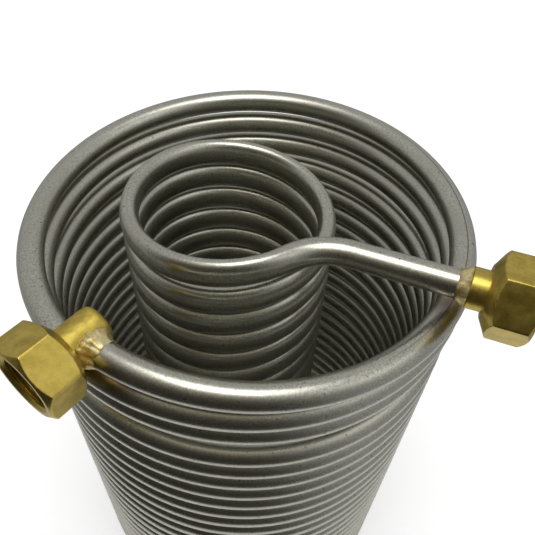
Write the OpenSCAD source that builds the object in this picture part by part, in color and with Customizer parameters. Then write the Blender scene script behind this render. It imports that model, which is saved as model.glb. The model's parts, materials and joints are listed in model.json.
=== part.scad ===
// Double-coil immersion wort chiller: one length of stainless tube wound down an outer coil,
// across the bottom and up an inner coil, with a brazed brass hose union at each end.
// The coil stands on Z = 0 and its outer coil is centred on the Z axis. Sizes in millimetres.

/* [Tube] */
// Outside diameter of the tube
tube_d = 9.5; // [8:0.1:11.5]
// Wall thickness of the tube
tube_wall = 0.8; // [0.5:0.1:1.2]

/* [Outer coil] */
// Radius of the outer coil, to the middle of the tube
outer_r = 79; // [65:1:110]
// Number of turns of the outer coil
outer_turns = 22; // [8:1:28]
// Space between neighbouring turns of the outer coil
outer_turn_gap = 0.2; // [0.1:0.1:3]
// Extra space below the third turn
split_gap = 7.5; // [0:0.5:12]
// Extra rise at the start of the first turn, which lifts the elbow off the turn below
start_lift = 2.7; // [2.3:0.1:5]

/* [Inner coil] */
// Radius of the inner coil, to the middle of the tube
inner_r = 36; // [28:1:43]
// Sideways place of the inner coil's axis
inner_x = -6.5; // [-10:0.5:10]
// Front-to-back place of the inner coil's axis
inner_y = -4.5; // [-8:0.5:-1]
// Width of the flattened tube, across the wall of the inner coil
oval_w = 6.6; // [5:0.1:8]
// Height of the flattened tube in the inner coil
oval_h = 11; // [9:0.1:13]
// Least space between neighbouring turns of the inner coil
inner_turn_gap = 1; // [0.5:0.1:3]
// Height of the inner coil's top turn above the outer coil's top turn
top_lift = 6.5; // [6:0.1:20]
// Rise of the last half-turn, which slopes the outlet arm
top_rise = 3; // [1:0.5:6]
// Extra space below the top turn
top_gap = 3.4; // [0:0.1:8]

/* [Outlet arm] */
// Compass angle at which the tube leaves the inner coil
leave_angle = 305; // [290:1:320]
// Bend radius of the arm, to the middle of the tube
bend_r = 24; // [18:1:30]
// Angle of the arm in front of the sideways direction
arm_angle = 19; // [5:1:30]
// Length of bare tube between the bend and the outlet tail
arm_length = 37.5; // [30:0.5:70]

/* [Unions] */
// Compass angle of the inlet elbow
elbow_angle = 234; // [220:1:250]
// Wall of the brass tails around the tube
tail_wall = 2; // [1.5:0.1:2.5]
// Length of tail that shows between the braze and the nut
tail_show = 5.5; // [4:0.5:10]
// Water bore through the tails
tail_bore = 7.9; // [6:0.1:9]
// Bore of the nut's thread, at its crests
thread_bore = 18.63; // [18:0.01:24]
// Width of the nut across its flats
nut_flats = 25; // [24:0.5:32]
// Length of the nut
nut_length = 15; // [12:0.5:20]
// Thickness of the nut's back wall
nut_wall = 3; // [2:0.5:4]
// Thickness of the flange that holds the nut on its tail
flange_t = 2; // [1.5:0.1:3]
// Thickness of the sealing washer
washer_t = 2; // [1:0.5:3]
// Hole through the sealing washer
washer_bore = 10; // [8:0.5:13]

/* [Fits] */
// Radial clearance of the nut on its tail
spin_gap = 0.1; // [0.05:0.01:0.1]
// End play between the nut's back wall and the flange
end_play = 0.3; // [0.2:0.1:1]
// Radial clearance of the tube in its brazed sockets
socket_gap = 0.05; // [0.02:0.01:0.1]
// Radial clearance of flange and washer in the thread
thread_gap = 0.2; // [0.15:0.05:0.4]

/* [Hidden] */
$fn = 96;

STEEL = [0.62, 0.60, 0.56];
BRASS = [0.72, 0.60, 0.24];
BRAZE = [0.86, 0.76, 0.44];
RUBBER = [0.13, 0.13, 0.13];

tube_bore = tube_d - 2 * tube_wall;
base_z = tube_d / 2;
joint_step = 0.03;

// Outer coil: half-turns are counted from the top, and even ones are the front halves
outer_pitch = tube_d + outer_turn_gap;
outer_last = 2 * outer_turns - 1;
split_half = 5;
function outer_drop(i) =
  i == outer_last ? 0 :
  i == outer_last - 1 ? outer_pitch :
  i == split_half ? outer_pitch / 2 + split_gap :
  i == 0 ? outer_pitch / 2 + start_lift :
  outer_pitch / 2;
function outer_z(i) = i > outer_last ? base_z : outer_z(i + 1) + outer_drop(i);

// Inlet elbow
tail_r = tube_d / 2 + tail_wall;
elbow_turn = elbow_angle - 180;
elbow_z = outer_z(0) - outer_drop(0) / 2 * (1 - cos(elbow_turn));
elbow_back = tail_r + 1.2;
elbow_round = 1.6;
elbow_nut = tube_d / 2 + 1.4;
bead_length = 3.8;
tube_in = tail_bore / 2 - 0.5;
tube_in_turn = elbow_turn + tube_in / outer_r * 180 / PI;

// Inner coil: half-turns are counted from the bottom, and odd ones are the front halves
inner_top_z = elbow_z + top_lift;
inner_height = inner_top_z - base_z - top_gap - top_rise / 2;
top_half = 2 * floor((inner_height / (oval_h + inner_turn_gap) * 2 - 1) / 2) + 1;
inner_pitch = 2 * inner_height / top_half;
function inner_rise(i) =
  i == top_half ? top_rise :
  i == top_half - 1 ? inner_pitch / 2 + top_gap :
  inner_pitch / 2;
function inner_z(i) = base_z + i * inner_pitch / 2 + (i == top_half ? top_gap : 0);

// Bottom link: a wide half-turn from the outer coil in to the inner coil
link_r = (outer_r + inner_x + inner_r) / 2;
link_x = inner_x + inner_r - link_r;

// Outlet arm
bend_turn = leave_angle - 270 + arm_angle;
socket_depth = 8;
braze_length = 3.6;

// Union parts, along an axis that starts at the nut's back face and points out of its mouth
flange_z = nut_wall + end_play;
flange_end = flange_z + flange_t;
flange_r = thread_bore / 2 - thread_gap;
nut_corner_r = nut_flats / 2 / cos(30);
outline_r = nut_corner_r + 1;
nut_back_r = tail_r + 1.9;
nut_back_chamfer = 3.4;
nut_front_r = nut_flats / 2 - 0.6;
nut_front_chamfer = 1.8;
mouth_chamfer = 1;
thread_start = flange_end + washer_t;
relief_r = thread_bore / 2 + 1.3;
inlet_nut_turn = 51;
outlet_nut_turn = 23.4;

// Cross-sections of the tube. Every other length is thinner by a hair, so that where two
// lengths meet their edges never fall on each other.
module round_tube(i) {
  hair = i % 2 * joint_step;
  difference() {
    circle(r = tube_d / 2 - hair);
    circle(r = tube_bore / 2 + hair);
  }
}

module oval(w, h) {
  straight = h - w;
  for (side = [-1, 1])
    translate([0, side * straight / 2])
      circle(d = w);
  square([w, straight], center = true);
}

module oval_tube(i) {
  wall = tube_wall - i % 2 * joint_step;
  hair = i % 2 * joint_step;
  difference() {
    oval(oval_w - 2 * hair, oval_h - 2 * hair);
    oval(oval_w - 2 * wall, oval_h - 2 * wall);
  }
}

// Half a turn that starts at +X and climbs by rise. It is level at both ends, so the next
// half-turn meets it squarely. A smaller angle keeps only its start, and a negative one its end.
module half_turn(r, rise, angle = 180) {
  slope = atan(rise / 2 / r);
  translate([0, 0, rise / 2])
    rotate([0, slope, 0])
      rotate([0, 0, angle < 0 ? 180 : 0])
        rotate_extrude(angle = angle)
          translate([r / cos(slope), 0])
            children();
}

module outer_half(i, angle = 180) {
  translate([0, 0, outer_z(i)])
    rotate([0, 0, i % 2 == 0 ? 180 : 0])
      half_turn(outer_r, -outer_drop(i), angle)
        children();
}

module inner_half(i, angle = 180) {
  translate([inner_x, inner_y, inner_z(i)])
    rotate([0, 0, i % 2 == 0 ? 0 : 180])
      half_turn(inner_r, inner_rise(i), angle)
        children();
}

// Frame of the elbow: +X points out of the mouth and +Y along the tube
module at_elbow() {
  translate([outer_r * cos(elbow_angle), outer_r * sin(elbow_angle), elbow_z])
    rotate([0, 0, elbow_angle])
      children();
}

// Frame of the arm, in the sloping plane of the inner coil's top half-turn: the start of its
// bend, with +X along the tube and +Y towards the inside of the coil
module at_leave() {
  slope = atan(top_rise / 2 / inner_r);
  translate([inner_x, inner_y, inner_z(top_half) + top_rise / 2])
    rotate([0, 0, 180])
      rotate([0, slope, 0])
        rotate([0, 0, leave_angle - 180])
          translate([inner_r / cos(slope), 0, 0])
            rotate([0, 0, 90])
              children();
}

// Frame at a distance along the arm's straight, with +X along it
module at_arm(distance) {
  at_leave()
    translate([0, -bend_r, 0])
      rotate([0, 0, -bend_turn])
        translate([distance, bend_r, 0])
          children();
}

// Turns what is built up the Z axis to run along +X
module along_x() {
  rotate([90, 0, 90])
    children();
}

module rod(d, from, to) {
  translate([0, 0, from])
    cylinder(d = d, h = to - from);
}

module outer_coil() {
  color(STEEL) {
    outer_half(0, tube_in_turn - 180)
      round_tube(0);
    for (i = [1 : outer_last])
      outer_half(i)
        round_tube(i);
  }
}

module bottom_link() {
  color(STEEL) {
    translate([-outer_r, 0, base_z])
      rotate([90, 0, 0])
        linear_extrude(-inner_y)
          round_tube(0);
    translate([link_x, inner_y, base_z])
      rotate([0, 0, 180])
        half_turn(link_r, 0)
          round_tube(1);
    inner_half(0)
      round_tube(0);
  }
}

module inner_coil() {
  color(STEEL) {
    for (i = [1 : top_half - 1])
      inner_half(i)
        oval_tube(i);
    inner_half(top_half, leave_angle - 180)
      oval_tube(top_half);
  }
}

module outlet_arm() {
  color(STEEL) {
    at_leave()
      translate([0, -bend_r, 0])
        rotate([0, 0, 90 - bend_turn])
          rotate_extrude(angle = bend_turn)
            translate([bend_r, 0])
              round_tube(0);
    at_arm(0)
      along_x()
        linear_extrude(arm_length + socket_depth)
          round_tube(1);
  }
}

// Frames of the two unions: the nut's back face, with +Z out of its mouth
module at_inlet() {
  at_elbow()
    translate([elbow_nut, 0, 0])
      along_x()
        children();
}

module at_outlet() {
  at_arm(arm_length + tail_show)
    along_x()
      children();
}

// A tail with the flange that holds the nut on it, solid until its bore is cut
module tail(from) {
  rod(2 * tail_r, from, flange_end);
  rod(2 * flange_r, flange_z, flange_end);
}

// Length of a chamfer that starts at radius r and runs on past the nut's corners
function past_corners(r, chamfer) =
  chamfer * (outline_r - r) / (nut_corner_r - r);

// Hex nut with both ends chamfered to a cone, which turns on its tail. Behind its thread it is
// relieved, where flange and washer lie.
module union_nut(turn) {
  difference() {
    intersection() {
      rotate([0, 0, turn - 30])
        linear_extrude(nut_length)
          circle(r = nut_corner_r, $fn = 6);
      rotate_extrude()
        polygon([
          [0, 0],
          [nut_back_r, 0],
          [outline_r, past_corners(nut_back_r, nut_back_chamfer)],
          [outline_r, nut_length - past_corners(nut_front_r, nut_front_chamfer)],
          [nut_front_r, nut_length],
          [0, nut_length]
        ]);
    }
    rod(2 * (tail_r + spin_gap), -1, nut_wall + 1);
    rod(2 * relief_r, nut_wall, thread_start);
    rod(thread_bore, nut_wall, nut_length + 1);
    translate([0, 0, nut_length - mouth_chamfer])
      cylinder(d1 = thread_bore, d2 = thread_bore + 2 * mouth_chamfer, h = mouth_chamfer);
  }
}

module union_washer() {
  difference() {
    rod(2 * flange_r, flange_end, thread_start);
    rod(washer_bore, flange_end - 1, thread_start + 1);
  }
}

// Outline of the elbow's blind end, with its rim rounded
module blind_end(end) {
  translate([0, end])
    square([tail_r - elbow_round, elbow_round]);
  translate([0, end + elbow_round])
    square([tail_r, elbow_back - elbow_round]);
  intersection() {
    translate([tail_r - elbow_round, end + elbow_round])
      circle(r = elbow_round);
    translate([0, end])
      square([tail_r, elbow_round]);
  }
}

module inlet_elbow() {
  color(BRASS)
    difference() {
      at_inlet()
        difference() {
          union() {
            tail(-elbow_nut);
            rotate_extrude()
              blind_end(-elbow_nut - elbow_back);
          }
          rod(tail_bore, -elbow_nut - tail_bore / 2, flange_end + 1);
        }
      outer_half(0, elbow_turn - 180)
        circle(d = tube_d + 2 * socket_gap);
    }
}

// Cone of braze around the tube, cut to the shape of the elbow's side
module inlet_braze() {
  lean = (tail_r + bead_length) / outer_r / 2 * 180 / PI;
  bead_end = tail_r + bead_length;
  color(BRAZE)
    difference() {
      at_elbow()
        rotate([0, 0, lean])
          rotate([-90, 0, 0])
            cylinder(r1 = tail_r - 0.2, r2 = tube_d / 2 + 0.6, h = bead_end);
      at_inlet()
        rod(2 * tail_r, -elbow_nut - 2 * elbow_back, elbow_nut);
      outer_half(0, elbow_turn - 180)
        circle(d = tube_d + 2 * socket_gap);
    }
}

module inlet_nut() {
  color(BRASS)
    at_inlet()
      union_nut(inlet_nut_turn);
}

module inlet_washer() {
  color(RUBBER)
    at_inlet()
      union_washer();
}

module outlet_tail() {
  color(BRASS)
    at_outlet()
      difference() {
        tail(-tail_show);
        rod(tail_bore, -tail_show - 1, flange_end + 1);
        rod(tube_d + 2 * socket_gap, -tail_show - 1, socket_depth - tail_show);
      }
}

module outlet_braze() {
  color(BRAZE)
    at_outlet()
      difference() {
        translate([0, 0, -tail_show - braze_length])
          cylinder(r1 = tube_d / 2 + 0.4, r2 = tail_r - 0.2, h = braze_length);
        rod(tube_d + 2 * socket_gap, -tail_show - braze_length - 1, -tail_show + 1);
      }
}

module outlet_nut() {
  color(BRASS)
    at_outlet()
      union_nut(outlet_nut_turn);
}

module outlet_washer() {
  color(RUBBER)
    at_outlet()
      union_washer();
}

outer_coil();
bottom_link();
inner_coil();
outlet_arm();
inlet_elbow();
inlet_braze();
inlet_nut();
inlet_washer();
outlet_tail();
outlet_braze();
outlet_nut();
outlet_washer();
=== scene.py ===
import json
import math

import bpy
import numpy as np
from mathutils import Matrix, Vector, noise


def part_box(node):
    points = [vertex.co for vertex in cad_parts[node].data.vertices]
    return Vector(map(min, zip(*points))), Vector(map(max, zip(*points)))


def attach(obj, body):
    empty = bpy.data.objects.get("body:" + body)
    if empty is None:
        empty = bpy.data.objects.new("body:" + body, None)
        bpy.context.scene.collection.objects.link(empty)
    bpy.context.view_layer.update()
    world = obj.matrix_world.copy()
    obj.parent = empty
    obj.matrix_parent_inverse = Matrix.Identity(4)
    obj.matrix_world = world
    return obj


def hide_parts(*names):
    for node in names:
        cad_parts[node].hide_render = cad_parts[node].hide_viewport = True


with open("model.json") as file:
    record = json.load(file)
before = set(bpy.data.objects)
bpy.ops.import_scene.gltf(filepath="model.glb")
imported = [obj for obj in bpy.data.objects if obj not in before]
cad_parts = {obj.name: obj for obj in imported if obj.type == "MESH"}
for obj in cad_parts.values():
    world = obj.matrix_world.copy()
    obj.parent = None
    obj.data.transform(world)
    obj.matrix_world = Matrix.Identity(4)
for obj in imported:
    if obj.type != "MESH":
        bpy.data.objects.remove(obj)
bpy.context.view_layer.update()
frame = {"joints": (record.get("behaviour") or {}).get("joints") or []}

MM = 0.001

# ---------------------------------------------------------------- driving sizes, in millimetres
TUBE_D = 9.5
TUBE_WALL = 0.8
TURN_GAP, INNER_TURN_GAP = 0.2, 1.0
INNER_R, INNER_X, INNER_Y = 36.0, -6.5, -4.5
OVAL_W, OVAL_H = 6.6, 11.0
TOP_LIFT, TOP_RISE, TOP_GAP = 6.5, 3.0, 3.4
SPLIT_GAP, START_LIFT = 7.5, 2.7
LEAVE_ANGLE, ARM_ANGLE, BEND_R = 305.0, 19.0, 24.0
TAIL_WALL, TAIL_BORE, TAIL_SHOW = 2.0, 7.9, 5.5
SOCKET_DEPTH, SOCKET_GAP = 8.0, 0.05
BRAZE_LENGTH = 3.6
ELBOW_NUT, ELBOW_BACK, ELBOW_ROUND = 1.4, 1.2, 2.1
NUT_FLATS, NUT_LENGTH, NUT_WALL = 25.0, 15.0, 3.0
NUT_BACK_EDGE, NUT_BACK_CHAMFER = 1.9, 3.4
NUT_FRONT_EDGE, NUT_FRONT_CHAMFER = 0.6, 1.8
FLANGE_T, END_PLAY, WASHER_T, WASHER_BORE = 2.0, 0.3, 2.0, 10.0
THREAD_BORE, THREAD_PITCH, THREAD_DEPTH = 18.63, 1.814, 1.16
THREAD_RELIEF, MOUTH_CHAMFER = 1.3, 1.15
SPIN_GAP, THREAD_GAP = 0.1, 0.2
EDGE = 0.2
INLET_NUT_TURN, OUTLET_NUT_TURN = 51.0, 23.4

# The top turns, which were spread by hand: turns from the front of the first, and their drop
SPREAD_TURNS = [0, 0.5, 1, 1.5, 2, 2.5, 3, 3.5, 4, 4.5, 5]
SPREAD_DROPS = [0, 0, -0.15, 1.4, 0.3, 3.0, SPLIT_GAP, 5.0, SPLIT_GAP, 7.1, SPLIT_GAP]
FRONT_OF_FIRST = 0.25
RING_SWELL, RING_SWELL_TURNS = 1.1, 2.0
INNER_SAG = 3.4

# ---------------------------------------------------------------- sizes read from the frame
def box_mm(node):
    low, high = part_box(node)
    return np.array(low) / MM, np.array(high) / MM


outer_low, outer_high = box_mm("outer_coil")
OUTER_R = (outer_high[0] - outer_low[0] - TUBE_D) / 2
OUTER_PITCH = TUBE_D + TURN_GAP
OUTER_TURNS = round((outer_high[2] - outer_low[2] - TUBE_D - SPLIT_GAP - START_LIFT) / OUTER_PITCH)
TUBE_R = TUBE_D / 2
TAIL_R = TUBE_R + TAIL_WALL
BORE_R = TAIL_BORE / 2
THREAD_R = THREAD_BORE / 2
TUBE_IN = BORE_R - 0.5
FLANGE_Z = NUT_WALL + END_PLAY
FLANGE_END = FLANGE_Z + FLANGE_T
FLANGE_R = THREAD_R - THREAD_GAP
THREAD_START = FLANGE_END + WASHER_T
joints = {j["child"]: j for j in frame["joints"]}


def union_frame(body):
    """The union's frame, in millimetres: the nut's back face, with +Z out of its mouth."""
    joint = joints[body]
    origin = np.array(joint["pos_m"]) / MM
    z = np.array(joint["axis"])
    x = np.cross([0, 0, 1], z)
    x /= np.linalg.norm(x)
    return origin, x, np.cross(z, x), z


INLET = union_frame("inlet_union_nut")
OUTLET = union_frame("outlet_union_nut")


def placed(union, points):
    origin, x, y, z = union
    points = np.asarray(points)
    return origin + points[..., :1] * x + points[..., 1:2] * y + points[..., 2:3] * z


# ---------------------------------------------------------------- meshes
def mesh_object(name, points, faces, smooth_angle=None, uvs=None):
    """A smooth-shaded mesh from points in millimetres. uvs holds one pair for each face corner."""
    mesh = bpy.data.meshes.new(name)
    mesh.from_pydata((np.asarray(points) * MM).tolist(), [], faces)
    if uvs is not None:
        layer = mesh.uv_layers.new(name="UVMap")
        layer.data.foreach_set("uv", np.asarray(uvs, np.float32).ravel())
    mesh.polygons.foreach_set("use_smooth", [True] * len(mesh.polygons))
    mesh.update()
    obj = bpy.data.objects.new(name, mesh)
    bpy.context.scene.collection.objects.link(obj)
    if smooth_angle is not None:
        bpy.context.view_layer.objects.active = obj
        obj.select_set(True)
        bpy.ops.object.shade_smooth_by_angle(angle=math.radians(smooth_angle))
        obj.select_set(False)
    return obj


def ring_faces(rings, sides, joined=False):
    """Quads between successive rings of points, and from the last ring to the first if joined."""
    faces = []
    for i in range(rings if joined else rings - 1):
        a, b = i * sides, (i + 1) % rings * sides
        for j in range(sides):
            k = (j + 1) % sides
            faces.append((a + j, b + j, b + k, a + k))
    return faces


LATHE_SIDES, LATHE_SMOOTH = 96, 32


def lathe(name, union, outline, shape=None, smooth_angle=LATHE_SMOOTH):
    """A closed outline of (radius, z) turned about a union's axis. shape alters the points."""
    turn = np.arange(LATHE_SIDES) * 2 * math.pi / LATHE_SIDES
    around = np.stack([np.cos(turn), np.sin(turn), np.zeros(LATHE_SIDES)], 1)
    local = np.array([r * around + [0, 0, z] for r, z in outline])
    if shape is not None:
        local = shape(local)
    faces = ring_faces(len(outline), LATHE_SIDES, joined=True)
    return mesh_object(name, placed(union, local).reshape(-1, 3), faces, smooth_angle)


def arc(r_centre, z_centre, radius, start, end, steps):
    """Points of a lathe outline along an arc, between two angles in degrees."""
    turns = np.radians(np.linspace(start, end, steps))
    return [(r_centre + radius * math.cos(t), z_centre + radius * math.sin(t)) for t in turns]


# ---------------------------------------------------------------- the tube's centre line
def half_turn(centre, r, z, rise, start, t):
    """Points at t radians along a half-turn that starts at compass angle start and climbs by rise."""
    slope = math.atan(rise / 2 / r)
    x, y = r * np.cos(t), r / math.cos(slope) * np.sin(t)
    c, s = math.cos(math.radians(start)), math.sin(math.radians(start))
    level = z + rise / 2 * (1 - np.cos(t))
    return np.stack([centre[0] + x * c - y * s, centre[1] + x * s + y * c, level], 1)


RING_STEP = 3


def along(start, end, r=1.0):
    """Values from start up to end, spaced for a ring of the tube about every 3 mm."""
    return np.linspace(start, end, max(3, round((end - start) * r / RING_STEP)), endpoint=False)


def ease(value):
    value = np.clip(value, 0, 1)
    return value * value * (3 - 2 * value)


def spread(turns):
    """How far the hand-spread turns have dropped, by turns from the front of the first."""
    drop = np.full(len(turns), SPREAD_DROPS[0], float)
    steps = zip(SPREAD_TURNS, SPREAD_TURNS[1:], SPREAD_DROPS, SPREAD_DROPS[1:])
    for start, end, before, after in steps:
        drop += (after - before) * ease((turns - start) / (end - start))
    return drop


def outer_drop(i):
    """Drop of half-turn i, from the top. The last lies flat, so the one before it drops a pitch."""
    last = 2 * OUTER_TURNS - 1
    extra = {0: START_LIFT, last - 1: OUTER_PITCH / 2, last: -OUTER_PITCH / 2}
    return OUTER_PITCH / 2 + extra.get(i, 0)


def outer_line():
    """Centre line of the outer coil, down from the elbow, with its top ring a little wider."""
    start = math.atan2(INLET[0][1], INLET[0][0]) + math.pi + TUBE_IN / OUTER_R
    level = TUBE_R + SPLIT_GAP + sum(outer_drop(i) for i in range(2 * OUTER_TURNS))
    halves = []
    for i in range(2 * OUTER_TURNS):
        t = along(start if i == 0 else 0, math.pi, OUTER_R)
        half = half_turn((0, 0), OUTER_R, level, -outer_drop(i), 180 * (1 - i % 2), t)
        turns = i / 2 + t / (2 * math.pi)
        swell = RING_SWELL * ease((turns - start / (2 * math.pi)) * 4)
        swell *= 1 - ease((turns - 1) / (RING_SWELL_TURNS - 1))
        half[:, :2] *= 1 + swell[:, None] / OUTER_R
        half[:, 2] -= spread(turns - FRONT_OF_FIRST)
        halves.append(half)
        level -= outer_drop(i)
    return np.concatenate(halves)


def inner_levels():
    """Height of the start of each half-turn of the inner coil, and the rise of each."""
    top = INLET[0][2] + TOP_LIFT
    height = top - TUBE_R - TOP_GAP - TOP_RISE / 2
    last = 2 * math.floor((height / (OVAL_H + INNER_TURN_GAP) * 2 - 1) / 2) + 1
    rises = [height / last] * (last - 1) + [height / last + TOP_GAP, TOP_RISE]
    return TUBE_R + np.concatenate([[0], np.cumsum(rises)[:-1]]), rises


def inner_sag(i, last, t):
    """How far the top turn hangs below an even climb, from its start to where the arm leaves."""
    share = (t + math.pi * (i - last + 1)) / math.radians(LEAVE_ANGLE)
    return INNER_SAG * (1 - np.cos(2 * math.pi * share)) / 2


def inner_line():
    """Centre line of the inner coil, with its first half-turn, which belongs to the link, apart."""
    levels, rises = inner_levels()
    last = len(rises) - 1
    halves = []
    for i, (level, rise) in enumerate(zip(levels, rises)):
        end = math.pi if i < last else math.radians(LEAVE_ANGLE - 180)
        t = along(0, end, INNER_R)
        half = half_turn((INNER_X, INNER_Y), INNER_R, level, rise, 180 * (i % 2), t)
        if i >= last - 1:
            half[:, 2] -= inner_sag(i, last, t)
        halves.append(half)
    return halves[0], np.concatenate(halves[1:])


def link_line(first_inner):
    """Centre line of the crossing: a short straight, a wide half-turn and the inner coil's first."""
    r = (OUTER_R + INNER_X + INNER_R) / 2
    y = along(0, -INNER_Y)
    straight = np.stack([np.full(len(y), -OUTER_R), -y, np.full(len(y), TUBE_R)], 1)
    centre = (INNER_X + INNER_R - r, INNER_Y)
    crossing = half_turn(centre, r, TUBE_R, 0, 180, along(0, math.pi, r))
    return np.concatenate([straight, crossing, first_inner])


def arm_line():
    """The bend outwards from the inner coil's last half-turn, then the straight into the outlet tail."""
    levels, rises = inner_levels()
    t = math.radians(LEAVE_ANGLE - 180)
    slope = math.atan(rises[-1] / 2 / INNER_R)
    tilt = np.array([math.cos(slope), 1, math.sin(slope)])
    flip = np.array([-1, -1, 1])
    outward = np.array([math.cos(t), math.sin(t), -math.cos(t)]) * tilt * flip
    forward = np.array([-math.sin(t), math.cos(t), math.sin(t)]) * tilt * flip
    start = half_turn((INNER_X, INNER_Y), INNER_R, levels[-1], rises[-1], 180, np.array([t]))[0]
    turned = math.radians(LEAVE_ANGLE - 270 + ARM_ANGLE)
    turn = np.append(along(0, turned, BEND_R * 2), turned)[:, None]
    bend = start + BEND_R * (np.sin(turn) * forward + (1 - np.cos(turn)) * outward)
    end = OUTLET[0] - (TAIL_SHOW - SOCKET_DEPTH) * OUTLET[3]
    reach = along(0, np.linalg.norm(end - bend[-1]))[1:, None]
    return np.concatenate([bend, bend[-1] + reach * OUTLET[3], end[None]])


first_inner, inner_run = inner_line()
runs = {
    "outer_coil": outer_line(),
    "bottom_link": link_line(first_inner),
    "inner_coil": inner_run,
    "outlet_arm": arm_line(),
}
centre_line = np.concatenate(list(runs.values()))
steps = np.linalg.norm(np.diff(centre_line, axis=0), axis=1)
run_length = np.concatenate([[0], np.cumsum(steps)])
run_ends = np.cumsum([len(run) for run in runs.values()])

FLATTEN_OVER, FLATTEN_BY_START = 40, 0.5
ROUND_OVER, ROUND_BY_END = 26, 0.6


def flatness():
    """How far the section is flattened at each ring: none outside the inner coil, all in it."""
    start, end = run_length[run_ends[1]], run_length[run_ends[2] - 1]
    rise = (run_length - start) / FLATTEN_OVER + FLATTEN_BY_START
    fall = (end - run_length) / ROUND_OVER + ROUND_BY_END
    return ease(np.minimum(rise, fall))


TUBE_SIDES = 28
OVAL_FULLNESS = 0.1


def tube_rings(inside):
    """Rings of points round the whole tube, from its underside outwards, over the top and back."""
    ahead = np.gradient(centre_line, axis=0)
    ahead /= np.linalg.norm(ahead, axis=1)[:, None]
    right = np.cross(ahead, [0, 0, 1])
    right /= np.linalg.norm(right, axis=1)[:, None]
    up = np.cross(right, ahead)
    flat = flatness()[:, None]
    wall = TUBE_WALL if inside else 0
    half_w = (TUBE_D * (1 - flat) + OVAL_W * flat) / 2 - wall
    half_h = (TUBE_D * (1 - flat) + OVAL_H * flat) / 2 - wall
    power = 1 - OVAL_FULLNESS * flat
    turn = 2 * math.pi * np.arange(TUBE_SIDES) / TUBE_SIDES - math.pi / 2
    across = np.sign(np.cos(turn)) * np.abs(np.cos(turn)) ** power * half_w
    above = np.sign(np.sin(turn)) * np.abs(np.sin(turn)) ** power * half_h
    return centre_line[:, None] + across[..., None] * right[:, None] + above[..., None] * up[:, None]


skin, bore = tube_rings(False), tube_rings(True)
TUBE_SMOOTH = 40


def tube_piece(name, first, last):
    """One length of the tube as a closed shell: its skin, its bore and a ring at each end."""
    rings = np.concatenate([skin[first:last], bore[first:last][::-1]])
    count = len(rings)
    lengths = run_length[first:last] * MM
    lengths = np.concatenate([lengths, lengths[::-1]])
    uvs = []
    for i in range(count):
        a, b = lengths[i], lengths[(i + 1) % count]
        for j in range(TUBE_SIDES):
            u, v = j / TUBE_SIDES, (j + 1) / TUBE_SIDES
            uvs.append(((u, a), (u, b), (v, b), (v, a)))
    faces = ring_faces(count, TUBE_SIDES, joined=True)
    return mesh_object(name, rings.reshape(-1, 3), faces, TUBE_SMOOTH, uvs)


tubes = {}
first = 0
for node, last in zip(runs, run_ends):
    tubes[node] = tube_piece(node + "_tube", first, min(last + 1, len(centre_line)))
    first = last

# ---------------------------------------------------------------- unions
def rough(amount, size, seed):
    """Alters lathe points by a smooth random height, as a casting or run braze has."""
    roughness, lacunarity, octaves = 0.8, 2.2, 3

    def shape(local):
        out = local.copy()
        for index in np.ndindex(local.shape[:2]):
            p = Vector(local[index] / size) + Vector((seed, 0, 0))
            height = noise.fractal(p, roughness, lacunarity, octaves)
            out[index][:2] *= 1 + amount * height / max(1.0, math.hypot(*local[index][:2]))
        return out
    return shape


def nut_outline():
    """Stations of the nut's closed outline, as (kind, z), from the back face round to its bore."""
    outside = np.concatenate([
        np.linspace(0, 4.4, 23),
        np.linspace(4.8, NUT_LENGTH - 3, 14),
        np.linspace(NUT_LENGTH - 2.9, NUT_LENGTH, 17),
    ])
    thread_step, hole_edge = 0.11, 0.15
    thread = np.arange(NUT_LENGTH, THREAD_START - 0.01, -thread_step)
    outline = [("back", 0.0)]
    outline += [("outside", z) for z in outside]
    outline += [("thread", z) for z in thread]
    outline += [("relief", THREAD_START), ("relief", NUT_WALL), ("hole", NUT_WALL), ("hole", hole_edge)]
    return outline


def soft_least(values, blend):
    """The least of several radii, with the edges between them rounded over."""
    values = np.array(values)
    least = values.min(0)
    return least - blend * np.log(np.sum(np.exp(-(values - least) / blend), axis=0))


NUT_SIDES, NUT_SMOOTH = 240, 28
HEX_SHARPNESS, HEX_BLEND, CHAMFER_LIFT = 90, 0.09, 0.05
TOOTH_HEIGHT, TOOTH_FLOOR, THREAD_FADE = 1.25, 0.12, 1.2


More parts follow.
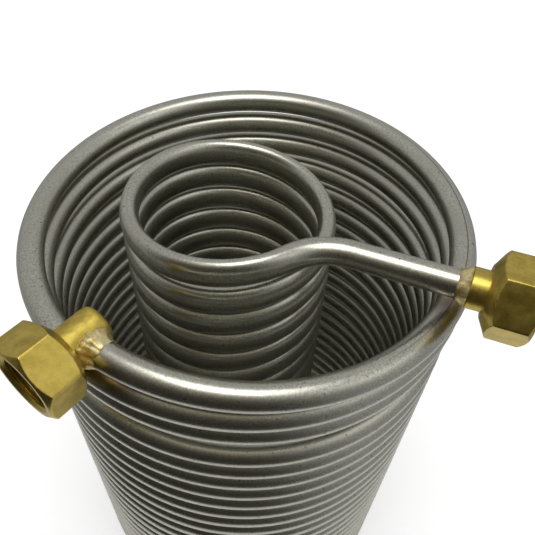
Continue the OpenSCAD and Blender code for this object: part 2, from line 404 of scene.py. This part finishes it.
def union_nut(name, union, turned):
    """A hexagon nut with chamfered ends and a helical thread, turned by an angle in degrees."""
    turn = np.arange(NUT_SIDES) * 2 * math.pi / NUT_SIDES
    flats_at = math.radians(turned) + np.arange(6)[:, None] * math.pi / 3
    facing = np.maximum(0, np.cos(turn - flats_at)) ** HEX_SHARPNESS
    hexagon = NUT_FLATS / 2 / np.sum(facing, axis=0) ** (1 / HEX_SHARPNESS)
    corner_r = NUT_FLATS / 2 / math.cos(math.pi / 6)
    back_r, front_r = TAIL_R + NUT_BACK_EDGE, NUT_FLATS / 2 - NUT_FRONT_EDGE
    back_slope = (corner_r - back_r) / NUT_BACK_CHAMFER
    front_slope = (corner_r - front_r) / NUT_FRONT_CHAMFER
    rings = []
    for kind, z in nut_outline():
        from_front = NUT_LENGTH - z
        if kind == "outside":
            back = np.full(NUT_SIDES, back_r + back_slope * z + CHAMFER_LIFT)
            front = np.full(NUT_SIDES, front_r + front_slope * from_front + CHAMFER_LIFT)
            r = soft_least([hexagon, back, front], HEX_BLEND)
        elif kind == "thread":
            phase = (z / THREAD_PITCH - turn / (2 * math.pi)) % 1
            tooth = np.clip(TOOTH_HEIGHT * (1 - np.abs(2 * phase - 1)) - TOOTH_FLOOR, 0, 1)
            fade = min(1.0, max(0.0, from_front / THREAD_FADE))
            r = np.maximum(THREAD_R + THREAD_DEPTH * tooth * fade, THREAD_R + MOUTH_CHAMFER - from_front)
        elif kind == "relief":
            r = np.full(NUT_SIDES, THREAD_R + THREAD_RELIEF)
        elif kind == "hole":
            r = np.full(NUT_SIDES, TAIL_R + SPIN_GAP)
        else:
            r = np.full(NUT_SIDES, TAIL_R + SPIN_GAP + EDGE)
        rings.append(np.stack([r * np.cos(turn), r * np.sin(turn), np.full(NUT_SIDES, z)], 1))
    points = placed(union, np.array(rings)).reshape(-1, 3)
    return mesh_object(name, points, ring_faces(len(rings), NUT_SIDES, joined=True), NUT_SMOOTH)


inlet_nut = union_nut("inlet_union_nut_brass", INLET, INLET_NUT_TURN)
outlet_nut = union_nut("outlet_union_nut_brass", OUTLET, OUTLET_NUT_TURN)

# Outlines are lists of (radius, z). The flange's runs from its back round to the bore.
FLANGE = [
    (FLANGE_R - EDGE, FLANGE_Z), (FLANGE_R, FLANGE_Z + EDGE),
    (FLANGE_R, FLANGE_END - EDGE), (FLANGE_R - EDGE, FLANGE_END),
    (BORE_R + EDGE, FLANGE_END), (BORE_R, FLANGE_END - EDGE),
]
AXIS_R = 0.02
ELBOW_AT = -(TUBE_R + ELBOW_NUT)
BLIND = ELBOW_AT - TAIL_R - ELBOW_BACK
BLIND_BORE = ELBOW_AT - 4.9
elbow = lathe(
    "inlet_elbow_brass", INLET,
    [(AXIS_R, BLIND), (2, BLIND), (4, BLIND)]
    + arc(TAIL_R - ELBOW_ROUND, BLIND + ELBOW_ROUND, ELBOW_ROUND, -90, 0, 8)
    + [(TAIL_R, z) for z in np.linspace(BLIND + 3, FLANGE_Z - 0.1, 22)]
    + FLANGE
    + [(BORE_R, ELBOW_AT - 3.5), (BORE_R / 2, BLIND_BORE + 0.1), (AXIS_R, BLIND_BORE)],
    shape=rough(0.16, 4.0, 3.0))

TAIL_BACK, TAIL_EDGE = -TAIL_SHOW, 0.35
SOCKET_R, SOCKET_END = TUBE_R + SOCKET_GAP, SOCKET_DEPTH - TAIL_SHOW
tail = lathe(
    "outlet_tail_brass", OUTLET,
    [(TAIL_R - TAIL_EDGE, TAIL_BACK), (TAIL_R, TAIL_BACK + TAIL_EDGE), (TAIL_R, FLANGE_Z - 0.1)]
    + FLANGE
    + [(BORE_R, SOCKET_END), (SOCKET_R, SOCKET_END), (SOCKET_R, TAIL_BACK)])


def union_washer(name, union):
    low, high, bore_r = FLANGE_END, THREAD_START, WASHER_BORE / 2
    return lathe(name, union, [
        (bore_r, low + EDGE), (bore_r + EDGE, low), (FLANGE_R - EDGE, low), (FLANGE_R, low + EDGE),
        (FLANGE_R, high - EDGE), (FLANGE_R - EDGE, high), (bore_r + EDGE, high), (bore_r, high - EDGE),
    ])


inlet_washer = union_washer("inlet_washer_rubber", INLET)
outlet_washer = union_washer("outlet_washer_rubber", OUTLET)

BRAZE_SMOOTH = 80
BRAZE_BACK = TAIL_BACK - BRAZE_LENGTH
outlet_braze = lathe(
    "outlet_braze_bead", OUTLET,
    [(TUBE_R, BRAZE_BACK), (TUBE_R + 0.35, BRAZE_BACK + 0.1), (TUBE_R + 0.7, TAIL_BACK - 2.6),
     (TUBE_R + 1.2, TAIL_BACK - 1.5), (TAIL_R - 0.25, TAIL_BACK - 0.4), (TAIL_R - 0.1, TAIL_BACK),
     (TUBE_R, TAIL_BACK + 0.05)],
    shape=rough(0.4, 3.0, 11.0), smooth_angle=BRAZE_SMOOTH)


def bead_frame():
    """The frame of the braze at the elbow: +Z runs from the elbow's axis along the tube."""
    ahead = centre_line[1] - centre_line[0]
    origin = centre_line[0] - ahead / np.linalg.norm(ahead) * TUBE_IN
    z = centre_line[3] - origin
    z /= np.linalg.norm(z)
    x = np.cross([0, 0, 1], z)
    x /= np.linalg.norm(x)
    return origin, x, np.cross(z, x), z


inlet_braze = lathe(
    "inlet_braze_bead", bead_frame(),
    [(TUBE_R - 0.1, 3.5), (TAIL_R - 0.9, 3.6), (TAIL_R - 0.15, 4.4), (TAIL_R + 0.05, 5.4),
     (TAIL_R - 0.1, 6.4), (TAIL_R - 0.55, 7.4), (TUBE_R + 0.9, 8.4), (TUBE_R + 0.5, 9.4),
     (TUBE_R + 0.2, 10.2), (TUBE_R - 0.1, 10.5)],
    shape=rough(0.7, 3.4, 5.0), smooth_angle=BRAZE_SMOOTH)

# ---------------------------------------------------------------- materials
class Look:
    """A procedural material, built from a few kinds of node on one Principled shader."""

    def __init__(self, name, **values):
        self.material = bpy.data.materials.new(name)
        self.material.use_nodes = True
        self.tree = self.material.node_tree
        self.shader = self.tree.nodes["Principled BSDF"]
        for socket, value in values.items():
            self.shader.inputs[socket.replace("_", " ")].default_value = value

    def node(self, kind, links=None, **settings):
        made = self.tree.nodes.new(kind)
        for key, value in settings.items():
            setattr(made, key, value)
        for socket, source in (links or {}).items():
            self.feed(made.inputs[socket], source)
        return made

    def feed(self, socket, source):
        if isinstance(source, bpy.types.NodeSocket):
            self.tree.links.new(source, socket)
        else:
            socket.default_value = source

    def place(self):
        """Where a point is on the object, in metres."""
        return self.node("ShaderNodeTexCoord").outputs["Object"]

    def noise(self, scale, detail=2.0, roughness=0.5):
        links = {"Vector": self.place(), "Scale": scale, "Detail": detail, "Roughness": roughness}
        return self.node("ShaderNodeTexNoise", links).outputs["Fac"]

    def ramp(self, value, stops):
        """An even change between two stops, each a position and a grey level."""
        made = self.node("ShaderNodeValToRGB", {"Fac": value})
        for element, (position, level) in zip(made.color_ramp.elements, stops):
            element.position = position
            element.color = (level, level, level, 1)
        return made.outputs["Color"]

    def maths(self, operation, a, b=0.0, clamp=False):
        made = self.node("ShaderNodeMath", {0: a, 1: b}, operation=operation, use_clamp=clamp)
        return made.outputs["Value"]

    def mix(self, factor, a, b):
        """Colour a where factor is 0, colour b where it is 1."""
        made = self.node("ShaderNodeMix", {"Factor": factor}, data_type="RGBA")
        for socket, source in ((6, a), (7, b)):
            self.feed(made.inputs[socket], (*source, 1) if isinstance(source, tuple) else source)
        return made.outputs[2]

    def near(self, point, reach):
        """1 at a point of the object, given in millimetres, falling to 0 at reach from it."""
        links = {0: self.place(), 1: tuple(np.asarray(point) * MM)}
        away = self.node("ShaderNodeVectorMath", links, operation="DISTANCE").outputs["Value"]
        return self.maths("SUBTRACT", 1.0, self.maths("DIVIDE", away, reach * MM), clamp=True)

    def wear(self, colour, roughness, height, depth, strength=1.0):
        """Links the colour and roughness, and a bump of depth in millimetres."""
        self.tree.links.new(colour, self.shader.inputs["Base Color"])
        self.tree.links.new(roughness, self.shader.inputs["Roughness"])
        links = {"Height": height, "Strength": strength, "Distance": depth * MM}
        bump = self.node("ShaderNodeBump", links)
        self.tree.links.new(bump.outputs["Normal"], self.shader.inputs["Normal"])


SEAM_AROUND, SEAM_DRIFT, SEAM_LENGTH = 0.485, 0.06, 0.165
SEAM_COLOUR, SPECK_COLOUR = (0.10, 0.09, 0.08), (0.12, 0.10, 0.08)
TEMPER_COLOUR, SCORCH_COLOUR, SOOT_COLOUR = (0.66, 0.52, 0.42), (0.14, 0.08, 0.05), (0.16, 0.10, 0.06)


def seam_line(look):
    """The tube's weld line on its upper side, which wanders, and shows best on the first half-turn."""
    uv = look.node("ShaderNodeUVMap", uv_map="UVMap").outputs["UV"]
    parts = look.node("ShaderNodeSeparateXYZ", {"Vector": uv})
    around, length = parts.outputs["X"], parts.outputs["Y"]
    links = {"W": length, "Scale": 7.0, "Detail": 1.0}
    drift = look.node("ShaderNodeTexNoise", links, noise_dimensions="1D").outputs["Fac"]
    drift = look.maths("MULTIPLY", look.maths("SUBTRACT", drift, 0.5), SEAM_DRIFT)
    off_line = look.maths("SUBTRACT", look.maths("SUBTRACT", around, SEAM_AROUND), drift)
    line = look.ramp(look.maths("ABSOLUTE", off_line), [(0.004, 1.0), (0.009, 0.0)])
    away = look.maths("ABSOLUTE", look.maths("SUBTRACT", length, SEAM_LENGTH))
    seen = look.ramp(away, [(0.04, 1.0), (0.07, 0.12)])
    return look.maths("MULTIPLY", look.maths("MULTIPLY", line, seen), 0.75)


def steel_look():
    """Satin annealed tube: fine speckle, faint stains, a weld line and heat marks at its brazes."""
    look = Look("satin_steel", Metallic=1.0)
    grain = look.noise(1500, 3, roughness=0.7)
    speckle = look.ramp(grain, [(0.34, 0.0), (0.66, 1.0)])
    colour = look.mix(speckle, (0.42, 0.415, 0.355), (0.70, 0.69, 0.60))
    cloud = look.ramp(look.noise(60, 4), [(0.42, 0.0), (0.62, 0.55)])
    colour = look.mix(cloud, colour, (0.52, 0.50, 0.43))
    specks = look.ramp(look.noise(900, 1), [(0.71, 0.0), (0.76, 0.7)])
    colour = look.mix(specks, colour, SPECK_COLOUR)
    colour = look.mix(seam_line(look), colour, SEAM_COLOUR)
    heat = look.near(placed(OUTLET, [0, 0, BRAZE_BACK]), 9)
    colour = look.mix(look.maths("MULTIPLY", heat, 0.7), colour, TEMPER_COLOUR)
    under_outlet = placed(OUTLET, [0, 0, TAIL_BACK - BRAZE_LENGTH / 2])
    turned = math.atan2(under_outlet[1], under_outlet[0])
    ring_top = INLET[0][2] + TUBE_R / 2
    scorched = [OUTER_R * math.cos(turned), OUTER_R * math.sin(turned), ring_top]
    heat = look.near(scorched, 9)
    colour = look.mix(look.maths("MULTIPLY", heat, 1.2, clamp=True), colour, SCORCH_COLOUR)
    under_elbow = centre_line[4] - np.array([0, 0, 5])
    heat = look.near(under_elbow, 11)
    colour = look.mix(look.maths("MULTIPLY", heat, 1.1, clamp=True), colour, SOOT_COLOUR)
    look.wear(colour, look.ramp(grain, [(0.2, 0.26), (0.8, 0.36)]), grain, 0.012, 0.5)
    return look.material


def brass_look(name, roughness, depth):
    """Brass with an olive tarnish and fine pits. roughness is its least and most."""
    look = Look(name, Metallic=1.0)
    patches = look.noise(190, 4, roughness=0.65)
    pits = look.noise(1500, 3, roughness=0.6)
    tarnish = look.ramp(patches, [(0.35, 0.0), (0.65, 1.0)])
    colour = look.mix(tarnish, (0.50, 0.375, 0.075), (0.72, 0.555, 0.13))
    colour = look.mix(look.ramp(pits, [(0.60, 0.0), (0.72, 0.5)]), colour, (0.26, 0.18, 0.03))
    dullness = look.ramp(patches, [(0.3, roughness[0]), (0.7, roughness[1])])
    look.wear(colour, dullness, pits, depth, 0.6)
    return look.material


def braze_look():
    """Pale run alloy with dull flux stains."""
    look = Look("brazing_alloy", Metallic=1.0)
    stains = look.noise(420, 4, roughness=0.7)
    clean = look.ramp(stains, [(0.42, 0.0), (0.55, 1.0)])
    colour = look.mix(clean, (0.62, 0.47, 0.18), (0.88, 0.77, 0.42))
    look.wear(colour, look.ramp(stains, [(0.4, 0.50), (0.6, 0.38)]), stains, 0.10, 0.5)
    return look.material


def rubber_look():
    look = Look("washer_rubber")
    grain = look.noise(1800, 2)
    colour = look.mix(grain, (0.012, 0.012, 0.012), (0.03, 0.03, 0.03))
    look.wear(colour, look.ramp(grain, [(0.3, 0.55), (0.7, 0.7)]), grain, 0.02)
    return look.material


STEEL, BRAZE, RUBBER = steel_look(), braze_look(), rubber_look()
BRASS = brass_look("tarnished_brass", (0.30, 0.42), 0.035)
CAST_BRASS = brass_look("cast_brass", (0.42, 0.58), 0.09)
pieces = [(tubes[node], node, STEEL, "steel", "chiller") for node in tubes]
pieces += [
    (elbow, "inlet_elbow", CAST_BRASS, "brass", "chiller"),
    (tail, "outlet_tail", BRASS, "brass", "chiller"),
    (inlet_braze, "inlet_braze", BRAZE, "braze", "chiller"),
    (outlet_braze, "outlet_braze", BRAZE, "braze", "chiller"),
    (inlet_washer, "inlet_washer", RUBBER, "washer", "chiller"),
    (outlet_washer, "outlet_washer", RUBBER, "washer", "chiller"),
    (inlet_nut, "inlet_nut", BRASS, "brass", "inlet_union_nut"),
    (outlet_nut, "outlet_nut", BRASS, "brass", "outlet_union_nut"),
]
for obj, node, material, slot, body_name in pieces:
    obj.data.materials.append(material)
    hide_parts(node)
    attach(obj, body_name)

# ---------------------------------------------------------------- studio
# Lengths in millimetres, compass angles and elevations in degrees
TENT_R, TENT_MIDDLE, TENT_LOW, TENT_TOP = 1500, 200, -7, 72
TENT_FLOOR, TENT_FLOOR_RINGS = 0.3, (250, 330, 600, 1000)
TENT_WALL_RINGS, TENT_STEP = 30, 7.5
TENT_BACK, TENT_SPREAD, TENT_EDGE = 72, 100, 50
TENT_UP = [0, 13, 27, 40, 53, 66, 75]
TENT_FRONT_LIGHT = [0.035, 0.045, 0.06, 0.12, 0.27, 0.50, 0.80]
TENT_BACK_LIGHT = [0.36, 0.44, 0.46, 0.46, 0.44, 0.40, 0.55]
TENT_FRONT_TINT = (1.0, 0.94, 0.76)
WINDOW_TURN, WINDOW_UP, WINDOW_WIDE, WINDOW_TALL, WINDOW_LIGHT = -20, 45, 24, 14, 0.7
FLOOR_SIZE, FLOOR_GLOW = 3000, 0.35
WORLD_LIGHT, WORLD_SEEN = 0.8, 1.0


def tent_light(turn, up):
    """Brightness and tint of the tent at a compass angle and an elevation."""
    from_back = abs((turn - TENT_BACK + 180) % 360 - 180)
    back = 1 - ease((from_back - TENT_SPREAD) / TENT_EDGE)
    dim = np.interp(up, TENT_UP, TENT_FRONT_LIGHT)
    bright = np.interp(up, TENT_UP, TENT_BACK_LIGHT)
    from_window = abs((turn - WINDOW_TURN + 180) % 360 - 180)
    off_window = (from_window / WINDOW_WIDE) ** 2 + ((up - WINDOW_UP) / WINDOW_TALL) ** 2
    window = WINDOW_LIGHT * math.exp(-off_window)
    return dim * (1 - back) * np.array(TENT_FRONT_TINT) + bright * back + window


def tent_material():
    """A material that shines with the colours that the mesh holds as its light."""
    material = bpy.data.materials.new("tent")
    material.use_nodes = True
    tree = material.node_tree
    tree.nodes.clear()
    out = tree.nodes.new("ShaderNodeOutputMaterial")
    shader = tree.nodes.new("ShaderNodeEmission")
    painted = tree.nodes.new("ShaderNodeAttribute")
    painted.attribute_name = "light"
    tree.links.new(painted.outputs["Color"], shader.inputs["Color"])
    tree.links.new(shader.outputs[0], out.inputs["Surface"])
    return material


def tent_card():
    """A tent that only reflections see. Its top is open, and so is the middle of its floor."""
    turns = np.arange(0, 360, TENT_STEP)
    rings = [(r, TENT_FLOOR, 0) for r in TENT_FLOOR_RINGS]
    for up in np.linspace(TENT_LOW, TENT_TOP, TENT_WALL_RINGS):
        level = TENT_MIDDLE + TENT_R * math.sin(math.radians(up))
        rings.append((TENT_R * math.cos(math.radians(up)), max(TENT_FLOOR, level), up))
    points, light = [], []
    for r, level, up in rings:
        for turn in turns:
            points.append((r * math.cos(math.radians(turn)), r * math.sin(math.radians(turn)), level))
            light.append((*tent_light(turn, up), 1))
    card = mesh_object("tent", points, ring_faces(len(rings), len(turns)))
    shades = card.data.attributes.new("light", "FLOAT_COLOR", "POINT")
    shades.data.foreach_set("color", np.array(light, np.float32).ravel())
    card.data.materials.append(tent_material())
    card.visible_camera = card.visible_shadow = False
    card.visible_diffuse = card.visible_transmission = False


tent_card()

corners = [(-1, -1), (1, -1), (1, 1), (-1, 1)]
corners = [(x * FLOOR_SIZE, y * FLOOR_SIZE, 0) for x, y in corners]
floor = mesh_object("floor", corners, [(0, 1, 2, 3)])
paper = Look("paper", Roughness=0.9)
paper.shader.inputs["Base Color"].default_value = (0.86, 0.86, 0.86, 1)
paper.shader.inputs["Specular IOR Level"].default_value = 0.1
paper.shader.inputs["Emission Color"].default_value = (1, 1, 1, 1)
camera_ray = paper.node("ShaderNodeLightPath").outputs["Is Camera Ray"]
glow = paper.maths("MULTIPLY", camera_ray, FLOOR_GLOW)
paper.feed(paper.shader.inputs["Emission Strength"], glow)
floor.data.materials.append(paper.material)


def softbox(name, place, aim, size, power):
    light = bpy.data.lights.new(name, "AREA")
    light.shape = "RECTANGLE"
    light.size, light.size_y = (v * MM for v in size)
    light.energy = power
    lamp = bpy.data.objects.new(name, light)
    bpy.context.scene.collection.objects.link(lamp)
    lamp.location = Vector(place) * MM
    lamp.rotation_euler = (Vector(aim) - Vector(place)).to_track_quat("-Z", "Y").to_euler()


softbox("softbox_top", (0, -60, 820), (0, -60, 0), (260, 360), 1.0)

# The world is white where the camera or a reflection sees it, and dimmer as a light
world = bpy.data.worlds.new("studio")
world.use_nodes = True
tree = world.node_tree
background = tree.nodes["Background"]
path = tree.nodes.new("ShaderNodeLightPath")
seen = tree.nodes.new("ShaderNodeMath")
seen.operation = "MAXIMUM"
tree.links.new(path.outputs["Is Camera Ray"], seen.inputs[0])
glossy = tree.nodes.new("ShaderNodeMath")
glossy.operation = "MAXIMUM"
tree.links.new(path.outputs["Is Glossy Ray"], glossy.inputs[0])
tree.links.new(path.outputs["Is Transmission Ray"], glossy.inputs[1])
tree.links.new(glossy.outputs[0], seen.inputs[1])
strength = tree.nodes.new("ShaderNodeMapRange")
strength.inputs["To Min"].default_value = WORLD_LIGHT
strength.inputs["To Max"].default_value = WORLD_SEEN
tree.links.new(seen.outputs[0], strength.inputs["Value"])
tree.links.new(strength.outputs["Result"], background.inputs["Strength"])
background.inputs["Color"].default_value = (1, 1, 1, 1)
scene = bpy.context.scene
scene.world = world
scene.view_settings.view_transform = "Standard"

# ---------------------------------------------------------------- camera
LENS, SENSOR, CLIP_START = 40.53, 36.0, 0.005
CAMERA_AT = Vector((8.41, -165.75, 378.17)) * MM
LOOK_DOWN, ROLL = math.radians(48.42), math.radians(3.32)
camera = bpy.data.objects.new("camera", bpy.data.cameras.new("camera"))
scene.collection.objects.link(camera)
camera.data.lens, camera.data.sensor_width = LENS, SENSOR
camera.data.clip_start = CLIP_START
ahead = Vector((0, math.cos(LOOK_DOWN), -math.sin(LOOK_DOWN)))
above = Vector((0, math.sin(LOOK_DOWN), math.cos(LOOK_DOWN)))
side = Vector((1, 0, 0))
right = math.cos(ROLL) * side + math.sin(ROLL) * above
up = math.cos(ROLL) * above - math.sin(ROLL) * side
axes = Matrix((right, up, -ahead)).transposed()
camera.matrix_world = Matrix.Translation(CAMERA_AT) @ axes.to_4x4()
scene.camera = camera
